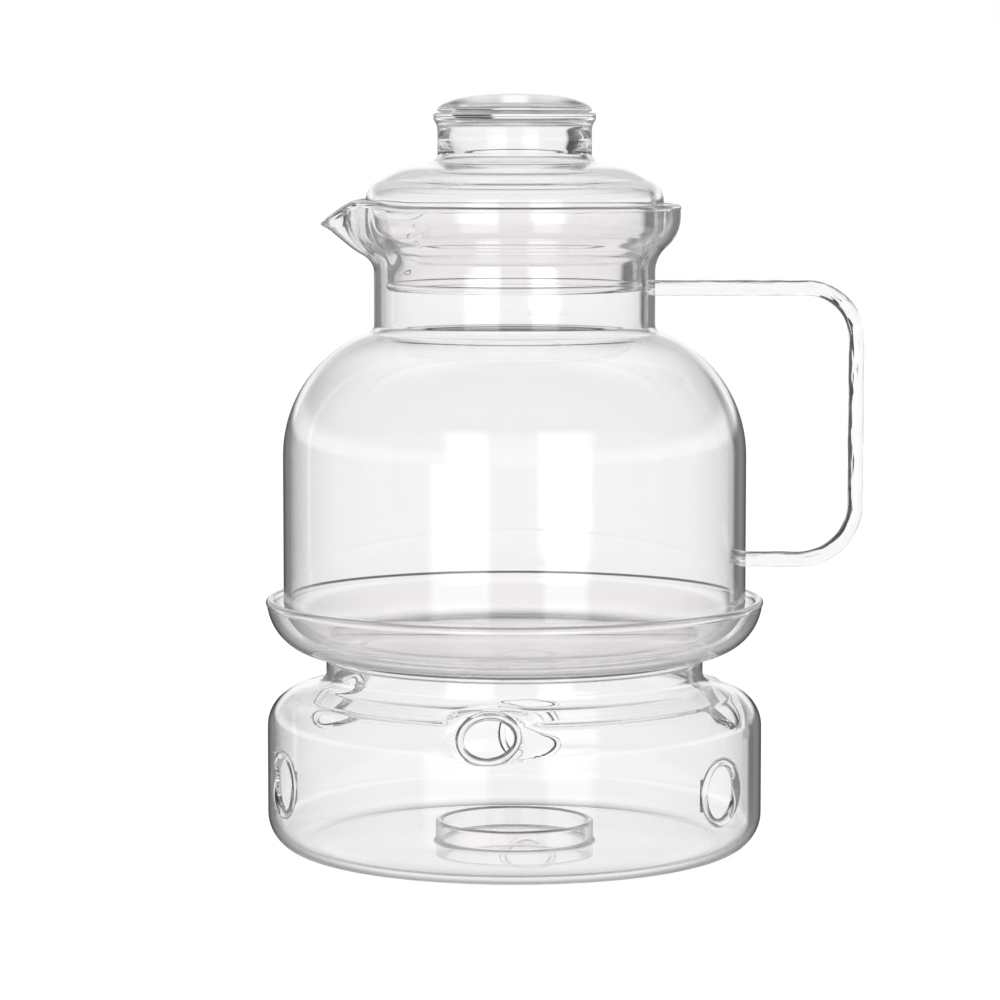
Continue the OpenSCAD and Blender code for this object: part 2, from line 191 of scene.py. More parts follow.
colour = mixed(tree, rays["Is Camera Ray"], lit, grey(1.0))
background = add(tree, "ShaderNodeBackground", {"Color": colour})
tree.links.new(background.outputs[0],
               add(tree, "ShaderNodeOutputWorld").inputs["Surface"])


def new_material(name):
    material = bpy.data.materials.new(name)
    material.use_nodes = True
    material.node_tree.nodes.clear()
    return material, material.node_tree


def surface(tree, shader):
    tree.links.new(shader, add(tree, "ShaderNodeOutputMaterial").inputs["Surface"])


# The floor: white to the eye, and most of its white is a glow, so that it keeps
# only a faint shadow. Rays that glass has bent or mirrored pass through it.
floor_material, tree = new_material("white_floor")
rays = add(tree, "ShaderNodeLightPath").outputs
by_glass = maths(tree, "MINIMUM", 1.0, maths(
    tree, "ADD", rays["Glossy Depth"], rays["Transmission Depth"]))
scattered = maths(tree, "MINIMUM", rays["Diffuse Depth"], 1.0)
paint = add(tree, "ShaderNodeBsdfDiffuse", {
    "Color": mixed(tree, scattered, grey(floor_white), grey(floor_bounce))}).outputs[0]
glow = add(tree, "ShaderNodeEmission", {
    "Color": grey(floor_glow), "Strength": maths(tree, "SUBTRACT", 1.0, scattered)}).outputs[0]
lit_floor = add(tree, "ShaderNodeAddShader", {0: paint, 1: glow}).outputs[0]
gone = add(tree, "ShaderNodeBsdfTransparent").outputs[0]
surface(tree, add(tree, "ShaderNodeMixShader", {0: by_glass, 1: lit_floor, 2: gone}).outputs[0])

floor_drop = 0.0002
floor_mesh = bpy.data.meshes.new("floor")
floor_size = 3.0
floor_mesh.from_pydata([(sx * floor_size, sy * floor_size, -floor_drop)
                        for sx, sy in ((-1, -1), (1, -1), (1, 1), (-1, 1))], [], [(0, 1, 2, 3)])
floor_mesh.materials.append(floor_material)
floor = bpy.data.objects.new("floor", floor_mesh)
bpy.context.collection.objects.link(floor)

lamp = bpy.data.objects.new("soft_lamp", bpy.data.lights.new("soft_lamp", "AREA"))
lamp.data.size = 0.8
lamp.data.energy = 6
lamp.location = (-0.3, -0.5, 1.1)
lamp.rotation_euler = (math.radians(25), math.radians(-15), 0)
lamp.visible_glossy = False
lamp.visible_transmission = False
bpy.context.collection.objects.link(lamp)


# ---- glass ----
# Every piece is clear borosilicate glass, blown or drawn in a flame, so all
# have the same finish: bright, hardly tinted, and faintly uneven.

glass_tint = (1.0, 0.992, 0.996, 1)
glass_ior = 1.47
shadow_clearness = 0.96
# The surface waves gently: how wide and how high the waves are
ripple_size = 0.03
ripple_height = 0.00002
# Light that runs on inside a wall is let out of it after so many bounces
caught_depth = 14


def clear_glass(name):
    material, tree = new_material(name)
    place = add(tree, "ShaderNodeTexCoord").outputs["Object"]
    noise = add(tree, "ShaderNodeTexNoise", {
        "Vector": place, "Scale": 1 / ripple_size, "Detail": 1.0})
    bump = add(tree, "ShaderNodeBump", {
        "Height": noise.outputs[0], "Distance": ripple_height, "Strength": 1.0})
    glass = add(tree, "ShaderNodeBsdfPrincipled", {
        "Base Color": glass_tint, "Roughness": 0.0, "IOR": glass_ior,
        "Transmission Weight": 1.0, "Normal": bump.outputs[0]})
    clear = add(tree, "ShaderNodeBsdfTransparent", {"Color": grey(shadow_clearness)})
    rays = add(tree, "ShaderNodeLightPath").outputs
    caught = maths(tree, "GREATER_THAN", rays["Ray Depth"], caught_depth)
    through = maths(tree, "MAXIMUM", rays["Is Shadow Ray"], caught)
    surface(tree, add(tree, "ShaderNodeMixShader", {
        0: through, 1: glass.outputs[0], 2: clear.outputs[0]}).outputs[0])
    return material


blown_glass = clear_glass("blown_glass")


# ---- warmer ----
# A blown drum with a flat floor, a sloping shoulder and a neck, and a short
# tube fused to its floor that centres the tealight. Its wall is a profile
# turned about the common axis, as all the blown pieces are.

drum_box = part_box("warmer_drum")
drum_r = drum_box[1].x
drum_h = drum_box[1].z
drum_wall = 0.002
drum_foot_r = 0.0114
drum_shoulder_r = 0.011
drum_shoulder_h = drum_h - 0.0083
drum_slope = math.radians(17)
drum_neck_r = 0.05716
drum_fillet_r = 0.0035
neck_bead_r = 0.00125
ring_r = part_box("tealight_ring")[1].x
ring_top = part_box("tealight_ring")[1].z
ring_wall = 0.0019
ring_weld_r = 0.0008
# The neck's wall ends under its bead, at that many of the bead's radii down
neck_lip_low = 1.55
drum_gap = 0.0018
drum_segments = 300

# Directions of an arc's ends, and how far apart the points of small arcs are
up = math.pi / 2
down = -up
across = math.pi
fillet_step = math.radians(8)
bead_step = math.radians(15)
# Points closer than this are one
same_point = 1e-6


def polar(angle):
    return np.array((math.cos(angle), math.sin(angle)))


def arc(centre, radius, start, end, step=math.radians(4)):
    """Points along an arc in the plane of radius and height, angles in radians."""
    count = max(2, math.ceil(abs(end - start) / step))
    return [np.array(centre) + radius * polar(start + (end - start) * i / count)
            for i in range(count + 1)]


def moved_in(path, wall):
    """The path moved to its left by the wall's thickness."""
    path = np.array(path)
    ahead = np.vstack((path[1:], path[-1:]))
    behind = np.vstack((path[:1], path[:-1]))
    along = (ahead - behind) / np.linalg.norm(ahead - behind, axis=1)[:, None]
    moved = path + wall * np.column_stack((-along[:, 1], along[:, 0]))
    moved[:, 0] = np.maximum(moved[:, 0], 0)
    return list(moved)


def filled(path, gap=0.004, near=0.0003):
    """The path with points added along its straight runs, close to their ends too."""
    points = [path[0]]
    for a, b in zip(path, path[1:]):
        length = np.linalg.norm(b - a)
        if length > 2 * gap:
            inner = np.linspace(0, 1, math.ceil(length / gap) + 1)[1:-1]
            shares = [near / length, *inner, 1 - near / length]
            points += [a + (b - a) * share for share in shares]
        if length > 1e-7:
            points.append(b)
    return points


def rounded_lip(centre, bead_r, wall, lean=0.0):
    """The bead on a wall's edge, from its outside over the top to its inside."""
    neck = math.acos(wall / 2 / bead_r)
    return arc(centre, bead_r, -lean - neck, across - lean + neck, bead_step)


def node_socket(tree, name, kind, direction="INPUT", **values):
    socket = tree.interface.new_socket(name, in_out=direction, socket_type=kind)
    for key, value in values.items():
        setattr(socket, key, value)
    return socket


def turned_wall_tree():
    """Turns a profile, given as a row of points, about the upright axis."""
    tree = bpy.data.node_groups.new("turned wall", "GeometryNodeTree")
    node_socket(tree, "Profile", "NodeSocketGeometry")
    node_socket(tree, "Segments", "NodeSocketInt", default_value=256)
    node_socket(tree, "Glass", "NodeSocketMaterial")
    node_socket(tree, "Wall", "NodeSocketGeometry", "OUTPUT")
    given = add(tree, "NodeGroupInput").outputs
    rows = add(tree, "GeometryNodeAttributeDomainSize", {0: given["Profile"]},
               component="MESH").outputs[0]
    columns = maths(tree, "ADD", given["Segments"], 1)
    grid = add(tree, "GeometryNodeMeshGrid", {"Vertices X": columns, "Vertices Y": rows}).outputs[0]
    index = add(tree, "GeometryNodeInputIndex").outputs[0]
    row = maths(tree, "MODULO", index, rows)
    column = maths(tree, "FLOOR", maths(tree, "DIVIDE", maths(tree, "ADD", index, 0.5), rows))
    point = add(tree, "GeometryNodeSampleIndex", {
        0: given["Profile"], "Value": add(tree, "GeometryNodeInputPosition").outputs[0], "Index": row},
        data_type="FLOAT_VECTOR").outputs[0]
    angle = maths(tree, "MULTIPLY", maths(tree, "DIVIDE", column, given["Segments"]), math.tau)
    place = add(tree, "ShaderNodeVectorRotate", {"Vector": point, "Angle": angle},
                rotation_type="Z_AXIS").outputs[0]
    placed = add(tree, "GeometryNodeSetPosition", {"Geometry": grid, "Position": place}).outputs[0]
    closed = add(tree, "GeometryNodeMergeByDistance", {
        "Geometry": placed, "Distance": same_point}).outputs[0]
    smooth = add(tree, "GeometryNodeSetShadeSmooth", {0: closed}).outputs[0]
    real = add(tree, "GeometryNodeRealizeInstances", {0: smooth}).outputs[0]
    glazed = add(tree, "GeometryNodeSetMaterial", {
        "Geometry": real, "Material": given["Glass"]}).outputs[0]
    tree.links.new(glazed, add(tree, "NodeGroupOutput").inputs[0])
    return tree


def grown(name, points, tree, vectors=(), **values):
    """A plain mesh: the points, put through a tree of geometry nodes with the values given."""
    seed = bpy.data.meshes.new(name)
    seed.from_pydata([tuple(point) for point in points], [], [])
    for key, rows in dict(vectors).items():
        seed.attributes.new(key, "FLOAT_VECTOR", "POINT").data.foreach_set("vector", np.ravel(rows))
    piece = bpy.data.objects.new(name, seed)
    bpy.context.collection.objects.link(piece)
    modifier = piece.modifiers.new("nodes", "NODES")
    modifier.node_group = tree
    for item in tree.interface.items_tree:
        if item.item_type == "SOCKET" and item.name in values:
            modifier[item.identifier] = values[item.name]
    evaluated = piece.evaluated_get(bpy.context.evaluated_depsgraph_get())
    mesh = bpy.data.meshes.new_from_object(evaluated)
    piece.modifiers.remove(modifier)
    piece.data = mesh
    mesh.name = name
    mesh.materials.clear()
    mesh.materials.append(values["Glass"])
    mesh.polygons.foreach_set("material_index", [0] * len(mesh.polygons))
    return piece


turned_wall = turned_wall_tree()


def turned(name, profile, glass, segments=256):
    """A blown piece whose closed wall is the profile turned about the axis."""
    points = [(r, 0, z) for r, z in profile]
    return grown(name, points, turned_wall, Segments=segments, Glass=glass)


def finish_piece(piece, body, slot, *nodes):
    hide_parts(*nodes)
    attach(piece, body)


def shoulder_line(r):
    """Height of the shoulder's outside, at radius r."""
    return drum_shoulder_h - (r - drum_neck_r) * math.tan(drum_slope)


shoulder_c = (drum_r - drum_shoulder_r, shoulder_line(drum_r - drum_shoulder_r)
              - drum_shoulder_r / math.cos(drum_slope))
neck_fillet_c = (drum_neck_r + drum_fillet_r, shoulder_line(drum_neck_r + drum_fillet_r)
                 + drum_fillet_r / math.cos(drum_slope))
neck_lip_c = (drum_neck_r - drum_wall / 2, drum_h - neck_bead_r)
drum_path = [np.array((0, 0))] \
    + arc((drum_r - drum_foot_r, drum_foot_r), drum_foot_r, down, 0) \
    + arc(shoulder_c, drum_shoulder_r, 0, up - drum_slope) \
    + arc(neck_fillet_c, drum_fillet_r, 3 * up - drum_slope, across, fillet_step) \
    + [np.array((drum_neck_r, drum_h - neck_lip_low * neck_bead_r))]
ring_weld_z = drum_wall + ring_weld_r
ring_path = arc((ring_r + ring_weld_r, ring_weld_z), ring_weld_r, down, -across, bead_step) \
    + arc((ring_r - ring_wall / 2, ring_top - ring_wall / 2), ring_wall / 2, 0, across, bead_step) \
    + arc((ring_r - ring_wall - ring_weld_r, ring_weld_z), ring_weld_r, 0, down, bead_step) \
    + [np.array((0, drum_wall))]
drum_inside = moved_in(drum_path, drum_wall)[:0:-1]
drum_profile = filled(drum_path, drum_gap) + rounded_lip(neck_lip_c, neck_bead_r, drum_wall) \
    + filled(drum_inside + ring_path, drum_gap)
warmer = turned("warmer_glass", drum_profile, blown_glass, drum_segments)


# Vents: six holes with a bead of melted glass round each. Three are in the
# wall. Three are higher, where the shoulder's glass was drawn in to a flat
# ring, facing upwards.

vent_bead_r = 0.0014
low_vent_r = 0.00775 + vent_bead_r
high_vent_r = 0.0072 + vent_bead_r
low_vent_z = 0.0234
low_vent_turns = (-68, 55, 176)
high_vent_turns = (-6.5, 110, -126)
high_vent_tilts = (47, 31, 31)
# How far a lower ring lies inside the middle of the wall
low_vent_sink = 0.0003
vent_cutter_h = 0.016
ring_steps = 96
bead_steps = 24
# The wall is drawn in fully up to the first of these, and not at all from the
# second on, in radii of the ring
drawn_in_from, drawn_in_to = 0.9, 1.9


def vent_axes(turn, tilt):
    """The directions across, up along and out of a vent that faces turn and tilt (degrees), and
    level out of the drum."""
    turn, tilt = math.radians(turn), math.radians(tilt)
    outwards = np.array((math.sin(turn), -math.cos(turn), 0))
    sideways = np.array((math.cos(turn), math.sin(turn), 0))
    upwards = np.array((0, 0, 1))
    return (sideways, upwards * math.cos(tilt) - outwards * math.sin(tilt),
            outwards * math.cos(tilt) + upwards * math.sin(tilt), outwards)


def high_vent_centre(turn, tilt):
    """The middle of a ring that reaches from the middle of the wall to that of the shoulder."""
    t = math.radians(tilt)
    r = drum_r - drum_wall / 2
    z = shoulder_line(r - 2 * high_vent_r * math.sin(t)) - drum_wall / 2 / math.cos(drum_slope) \
        - high_vent_r * math.cos(t)
    return vent_axes(turn, tilt)[3] * (r - high_vent_r * math.sin(t)) + np.array((0, 0, z))


def points_of(mesh):
    flat = np.empty(len(mesh.vertices) * 3, np.float32)
    mesh.vertices.foreach_get("co", flat)
    return flat.reshape(-1, 3).astype(float)


def normals_of(mesh):
    flat = np.empty(len(mesh.vertices) * 3, np.float32)
    mesh.vertices.foreach_get("normal", flat)
    return flat.reshape(-1, 3).astype(float)


def set_points(mesh, points):
    mesh.vertices.foreach_set("co", points.astype(np.float32).ravel())
    mesh.update()


def smooth_step(x):
    x = np.clip(x, 0, 1)
    return x * x * (3 - 2 * x)


def draw_in(piece, centre, axes, ring_r, wall):
    """Draws the wall in to a flat ring: its middle comes to the ring's plane, never outwards."""
    points = points_of(piece.data)
    outside = normals_of(piece.data)
    middle = points - outside * wall / 2
    offset = middle - centre
    height = offset @ axes[2]
    off_axis = np.hypot(offset @ axes[0], offset @ axes[1])
    kept = smooth_step((off_axis / ring_r - drawn_in_from) / (drawn_in_to - drawn_in_from))
    near = (np.abs(height) < ring_r) & (off_axis < ring_r * drawn_in_to)
    moved = middle - np.outer(height * (1 - kept), axes[2])
    side = np.sign(outside @ axes[2])[:, None] * axes[2]
    lean = outside * kept[:, None] + side * (1 - kept)[:, None]
    lean /= np.maximum(np.linalg.norm(lean, axis=1), same_point)[:, None]
    drawn = moved + lean * wall / 2
    radius = np.maximum(np.hypot(points[:, 0], points[:, 1]), same_point)
    spread = np.hypot(drawn[:, 0], drawn[:, 1]) / radius
    drawn[:, :2] /= np.maximum(spread, 1)[:, None]
    points[near] = drawn[near]
    set_points(piece.data, points)


def vent_tree():
    """Rings of melted glass, or the cylinders that cut their holes, one facing out at each point."""
    tree = bpy.data.node_groups.new("vents", "GeometryNodeTree")
    node_socket(tree, "Centres", "NodeSocketGeometry")
    node_socket(tree, "Ring radius", "NodeSocketFloat")
    node_socket(tree, "Bead radius", "NodeSocketFloat")
    node_socket(tree, "Cutter", "NodeSocketBool")
    node_socket(tree, "Glass", "NodeSocketMaterial")
    node_socket(tree, "Vents", "NodeSocketGeometry", "OUTPUT")
    given = add(tree, "NodeGroupInput").outputs
    ring = add(tree, "GeometryNodeCurvePrimitiveCircle", {
        "Resolution": ring_steps, "Radius": given["Ring radius"]})
    bead = add(tree, "GeometryNodeCurvePrimitiveCircle", {
        "Resolution": bead_steps, "Radius": given["Bead radius"]})
    torus = add(tree, "GeometryNodeCurveToMesh", {
        "Curve": ring.outputs[0], "Profile Curve": bead.outputs[0]})
    cylinder = add(tree, "GeometryNodeMeshCylinder", {
        "Vertices": ring_steps, "Radius": given["Ring radius"], "Depth": vent_cutter_h})
    shape = add(tree, "GeometryNodeSwitch", {
        "Switch": given["Cutter"], "False": torus.outputs[0], "True": cylinder.outputs[0]},
        input_type="GEOMETRY")
    facing = add(tree, "GeometryNodeInputNamedAttribute", {"Name": "facing"},
                 data_type="FLOAT_VECTOR")
    rotation = add(tree, "FunctionNodeAlignRotationToVector", {"Vector": facing.outputs[0]}, axis="Z")
    placed = add(tree, "GeometryNodeInstanceOnPoints", {
        "Points": given["Centres"], "Instance": shape.outputs[0], "Rotation": rotation.outputs[0]})
    smooth = add(tree, "GeometryNodeSetShadeSmooth", {0: placed.outputs[0]})
    real = add(tree, "GeometryNodeRealizeInstances", {0: smooth.outputs[0]})
    glazed = add(tree, "GeometryNodeSetMaterial", {
        "Geometry": real.outputs[0], "Material": given["Glass"]})
    tree.links.new(glazed.outputs[0], add(tree, "NodeGroupOutput").inputs[0])
    return tree


def combine(piece, other, operation, crease=math.radians(38)):
    """Fuses the other piece on to this one, or cuts it out, and removes the other."""
    modifier = piece.modifiers.new("combine", "BOOLEAN")
    modifier.object = other
    modifier.operation = operation
    modifier.solver = "MANIFOLD"
    evaluated = piece.evaluated_get(bpy.context.evaluated_depsgraph_get())
    mesh = bpy.data.meshes.new_from_object(evaluated)
    piece.modifiers.remove(modifier)
    piece.data = mesh
    mesh.set_sharp_from_angle(angle=crease)
    bpy.data.objects.remove(other)


vents = vent_tree()
low_vent_at = drum_r - drum_wall / 2 - low_vent_sink
low_vents = [(np.array((0, 0, low_vent_z)) + vent_axes(turn, 0)[2] * low_vent_at, vent_axes(turn, 0))
             for turn in low_vent_turns]
high_vents = [(high_vent_centre(turn, tilt), vent_axes(turn, tilt))
              for turn, tilt in zip(high_vent_turns, high_vent_tilts)]
for centre, axes in high_vents:
    draw_in(warmer, centre, axes, high_vent_r, drum_wall)
for group, ring in ((low_vents, low_vent_r), (high_vents, high_vent_r)):
    for cutter, operation in ((True, "DIFFERENCE"), (False, "UNION")):
        rings = grown("vent_rings", [centre for centre, axes in group], vents,
                      {"facing": [axes[2] for centre, axes in group]},
                      **{"Ring radius": ring, "Bead radius": vent_bead_r, "Cutter": cutter,
                         "Glass": blown_glass})
        combine(warmer, rings, operation)
finish_piece(warmer, "warmer", "drum_glass", "warmer_drum", "tealight_ring",
             *(f"vent_rim_{level}_{i}" for level in ("low", "high") for i in (1, 2, 3)))


# ---- dish ----
# A shallow glass dish, blown in one piece, with a fire-polished bead round its rim.
# It only stands on the warmer's neck.

jug_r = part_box("jug_body")[1].x
jug_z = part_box("jug_body")[0].z
dish_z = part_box("dish")[0].z
dish_wall = 0.0021
dish_lean = math.radians(8)
dish_bead_r = 0.0013
dish_curve_r = 0.0166
dish_rim_h = 0.0009
dish_space = 0.0029
dish_r = jug_r + dish_space + dish_wall

dish_curve_c = (dish_r - dish_curve_r * math.cos(dish_lean), dish_z + dish_curve_r)
dish_path = [np.array((0, dish_z))] + arc(dish_curve_c, dish_curve_r, down, -dish_lean)
dish_up = np.array((math.sin(dish_lean), math.cos(dish_lean)))
dish_out = np.array((math.cos(dish_lean), -math.sin(dish_lean)))
dish_rim = dish_path[-1] + dish_rim_h * dish_up - dish_wall / 2 * dish_out
dish_profile = filled(dish_path) + rounded_lip(dish_rim, dish_bead_r, dish_wall, dish_lean) \
    + filled(moved_in(dish_path, dish_wall))[::-1]
dish = turned("dish_glass", dish_profile, blown_glass)
finish_piece(dish, "dish", "dish_glass", "dish")


# ---- jug ----
# Blown in one piece of glass: flat base, straight wall, domed shoulder, neck
# and a flared mouth with a fire-polished bead.

jug_wall = 0.002
jug_foot_r = 0.0142
jug_wall_h = 0.0435
dome_r = 0.0393
neck_r = 0.0424
neck_h = 0.0158
neck_fillet_r = 0.0026
flare_reach = 0.0076
mouth_r = neck_r + flare_reach
flare_low_r = 0.010
flare_high_r = 0.012
mouth_h = 0.0026
mouth_bead_r = 0.0012
# The wall ends under the bead, at that many of the bead's radii down
mouth_lip_low = 0.55
dome_step = math.radians(3)
jug_segments = 306

dome_c = np.array((jug_r - dome_r, jug_z + jug_foot_r + jug_wall_h))
fillet_c = np.array((neck_r + neck_fillet_r, dome_c[1] + math.sqrt(
    (dome_r + neck_fillet_r) ** 2 - (neck_r + neck_fillet_r - dome_c[0]) ** 2)))
dome_end = math.atan2(*(fillet_c - dome_c)[::-1])
flare_z = fillet_c[1] + neck_h
flare_turn = math.acos(1 - flare_reach / (flare_low_r + flare_high_r))
flare_top_z = flare_z + (flare_low_r + flare_high_r) * math.sin(flare_turn)
mouth_c = np.array((mouth_r - jug_wall / 2, flare_top_z + mouth_h))
mouth_z = mouth_c[1] + mouth_bead_r

jug_path = [np.array((0, jug_z))] \
    + arc((jug_r - jug_foot_r, jug_z + jug_foot_r), jug_foot_r, down, 0) \
    + arc(dome_c, dome_r, 0, dome_end, dome_step) \
    + arc(fillet_c, neck_fillet_r, across + dome_end, across) \
    + arc((neck_r + flare_low_r, flare_z), flare_low_r, across, across - flare_turn) \
    + arc((mouth_r - flare_high_r, flare_top_z), flare_high_r, -flare_turn, 0) \
    + [mouth_c + (jug_wall / 2, -mouth_bead_r * mouth_lip_low)]
jug_profile = filled(jug_path) + rounded_lip(mouth_c, mouth_bead_r, jug_wall) \
    + filled(moved_in(jug_path, jug_wall))[::-1]
jug = turned("jug_glass", jug_profile, blown_glass, jug_segments)


# The spout: a wedge of the hot mouth was pulled out to a tip and pinched in on
# both sides, which leaves two sharp folds and a raised lip beside each.

# Angles are in degrees from the tip, and heights are shares of the flare's.
spout_half = 66
# How far the tip and the gentle swell round it stand out, how wide each is, and
# the power of the height with which each grows
tip_reach, tip_width, tip_power = 0.0082, 20, 3.2
swell_reach, swell_width, swell_power = 0.0009, 40, 2
# How far the pouring edge dips, and how far the lips beside it rise
tip_drop, dip_width = 0.0052, 17
lip_rise, lip_at, lip_width, lip_power = 0.0014, 26, 24, 3
# The folds: where they lie, how wide their side towards the tip is, and their
# other side at the bottom and, by so much more, from fold_wide up
pinch_depth = 0.0018
fold_at, fold_near, fold_far, fold_far_more = 40, 9, 4, 17
hollow_power = 2.6
# The heights at which a fold is deepest, widest and run out, and over how much
# of the height it runs out
fold_deep, fold_wide, fold_end, fold_fade = 0.6, 0.8, 0.93, 0.13
# The share of a fold that shows inside, and from where and over how much it sets in
fold_inside, inside_from, inside_over = 0.55, 0.5, 0.2


def hump(x, centre, width):
    """Smooth, 1 at the centre and 0 beyond the width on either side (degrees)."""
    return np.where(np.abs(x - centre) < width, 0.5 + 0.5 * np.cos(np.pi * (x - centre) / width), 0)


def fold(x, centre, width_in, width_out):
    """A sharp valley, 1 at the centre, with a straight side and a hollow one that ends at a crisp
    edge (degrees)."""
    straight = 1 - (centre - x) / width_in
    hollow = 1 - np.maximum((x - centre) / width_out, 0) ** hollow_power
    return np.clip(np.where(x < centre, straight, hollow), 0, 1)


def pull_spout(piece):
    points = points_of(piece.data)
    radius = np.hypot(points[:, 0], points[:, 1])
    angle = np.degrees(np.arctan2(-points[:, 1], -points[:, 0]))
    share = np.clip((points[:, 2] - flare_z) / (mouth_z - flare_z), 0, 1)
    wall_path = np.array([p for p in jug_path if p[1] >= flare_z - same_point])
    wall_middle = np.interp(points[:, 2], wall_path[:, 1], wall_path[:, 0]) - jug_wall / 2
    inside = radius < wall_middle
    tip = tip_reach * hump(angle, 0, tip_width) * share ** tip_power
    swell = swell_reach * hump(angle, 0, swell_width) * share ** swell_power
    depth = np.minimum(np.clip(share / fold_deep, 0, 1), np.clip((fold_end - share) / fold_fade, 0, 1))
    far_side = fold_far + fold_far_more * np.minimum(1, share / fold_wide)
    pinch = pinch_depth * depth * fold(np.abs(angle), fold_at, fold_near, far_side)
    thin = np.where(inside, fold_inside * np.clip((share - inside_from) / inside_over, 0, 1), 1)
    rise = lip_rise * (hump(angle, lip_at, lip_width) + hump(angle, -lip_at, lip_width))
    drop = (tip_drop + lip_rise / 2) * hump(angle, 0, dip_width)
    stretch = 1 + (tip + swell - thin * pinch) / np.maximum(radius, same_point)
    moved = (share > 0) & (np.abs(angle) < spout_half)
    points[:, :2] = np.where(moved[:, None], points[:, :2] * stretch[:, None], points[:, :2])
    points[:, 2] += np.where(moved, share ** lip_power * rise - share * drop, 0)
    set_points(piece.data, points)


pull_spout(jug)


# The handle: an oval rod, bent to a square handle in the flame and melted on
# to the neck and the wall, where its ends spread to a collar.

rod_thick = 0.005
rod_wide = 0.008
bend_top_r = 0.015
bend_low_r = 0.017
handle_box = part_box("handle_rod")
handle_x = handle_box[1].x - rod_thick / 2
handle_top_z = handle_box[1].z - rod_thick / 2
handle_low_z = handle_box[0].z + rod_thick / 2
weld_spread = 0.28
weld_reach = 0.0045
# How far the rod's ends reach into the wall, and how close its points lie
rod_sink = 0.0012
rod_gap = 0.0008
rod_steps = 64
# Drawing the rod left faint streaks along it: how many, how long and how deep
streaks = 3.2
streak_length = 0.02
streak_depth = 0.00045


def noted(tree, geometry, value):
    """The geometry with the value noted on its points, and the value as it is read further on."""
    node = add(tree, "GeometryNodeCaptureAttribute", {"Geometry": geometry})
    node.capture_items.new("FLOAT", "noted")
    tree.links.new(value, node.inputs[1])
    return node.outputs[0], node.outputs[1]


def rod_tree():
    """Sweeps an oval along a path in the handle's plane, with ends that spread where they melt on."""
    tree = bpy.data.node_groups.new("rod", "GeometryNodeTree")
    node_socket(tree, "Path", "NodeSocketGeometry")
    node_socket(tree, "Thickness", "NodeSocketFloat")
    node_socket(tree, "Width", "NodeSocketFloat")
    node_socket(tree, "Spread", "NodeSocketFloat")
    node_socket(tree, "Spread reach", "NodeSocketFloat")
    node_socket(tree, "Streaks", "NodeSocketFloat")
    node_socket(tree, "Streak length", "NodeSocketFloat")
    node_socket(tree, "Streak depth", "NodeSocketFloat")
    node_socket(tree, "Glass", "NodeSocketMaterial")
    node_socket(tree, "Rod", "NodeSocketGeometry", "OUTPUT")
    given = add(tree, "NodeGroupInput").outputs
    points = add(tree, "GeometryNodeMeshToPoints", {"Mesh": given["Path"]}).outputs[0]
    curve = add(tree, "GeometryNodePointsToCurves", {"Points": points}).outputs[0]
    upright = add(tree, "GeometryNodeSetCurveNormal", {"Curve": curve, "Normal": (0, 1, 0)}, mode="FREE")
    length = add(tree, "GeometryNodeSplineLength").outputs[0]
    along = add(tree, "GeometryNodeSplineParameter").outputs["Length"]
    from_end = maths(tree, "MINIMUM", along, maths(tree, "SUBTRACT", length, along))
    melted = add(tree, "ShaderNodeMapRange", {
        "Value": from_end, "From Min": 0.0, "From Max": given["Spread reach"],
        "To Min": 1.0, "To Max": 0.0}, interpolation_type="SMOOTHSTEP").outputs[0]
    scale = maths(tree, "ADD", 1.0, maths(tree, "MULTIPLY", melted, given["Spread"]))
    spread = add(tree, "GeometryNodeSetCurveRadius", {"Curve": upright.outputs[0], "Radius": scale})
    path, place = noted(tree, spread.outputs[0], along)
    circle = add(tree, "GeometryNodeCurvePrimitiveCircle", {
        "Resolution": rod_steps, "Radius": 0.5}).outputs[0]
    size = add(tree, "ShaderNodeCombineXYZ", {
        0: given["Width"], 1: given["Thickness"], 2: 1.0}).outputs[0]
    oval = add(tree, "GeometryNodeTransform", {"Geometry": circle, "Scale": size}).outputs[0]
    factor = add(tree, "GeometryNodeSplineParameter").outputs["Factor"]
    oval, around = noted(tree, oval, maths(tree, "MULTIPLY", factor, math.tau))
    rod = add(tree, "GeometryNodeCurveToMesh", {
        "Curve": path, "Profile Curve": oval, "Fill Caps": True}).outputs[0]
    spot = add(tree, "ShaderNodeCombineXYZ", {
        0: maths(tree, "COSINE", around), 1: maths(tree, "SINE", around),
        2: maths(tree, "DIVIDE", place, given["Streak length"])}).outputs[0]
    waves = add(tree, "ShaderNodeTexNoise", {
        "Vector": spot, "Scale": given["Streaks"], "Detail": 0.0}).outputs[0]
    inward = maths(tree, "MULTIPLY", waves, maths(tree, "MULTIPLY", given["Streak depth"], -1.0))
    normal = add(tree, "GeometryNodeInputNormal").outputs[0]
    offset = add(tree, "ShaderNodeVectorMath", {0: normal, "Scale": inward},
                 operation="SCALE").outputs[0]
    drawn = add(tree, "GeometryNodeSetPosition", {"Geometry": rod, "Offset": offset}).outputs[0]
    smooth = add(tree, "GeometryNodeSetShadeSmooth", {0: drawn}).outputs[0]
    real = add(tree, "GeometryNodeRealizeInstances", {0: smooth}).outputs[0]
    glazed = add(tree, "GeometryNodeSetMaterial", {
        "Geometry": real, "Material": given["Glass"]}).outputs[0]
    tree.links.new(glazed, add(tree, "NodeGroupOutput").inputs[0])
    return tree


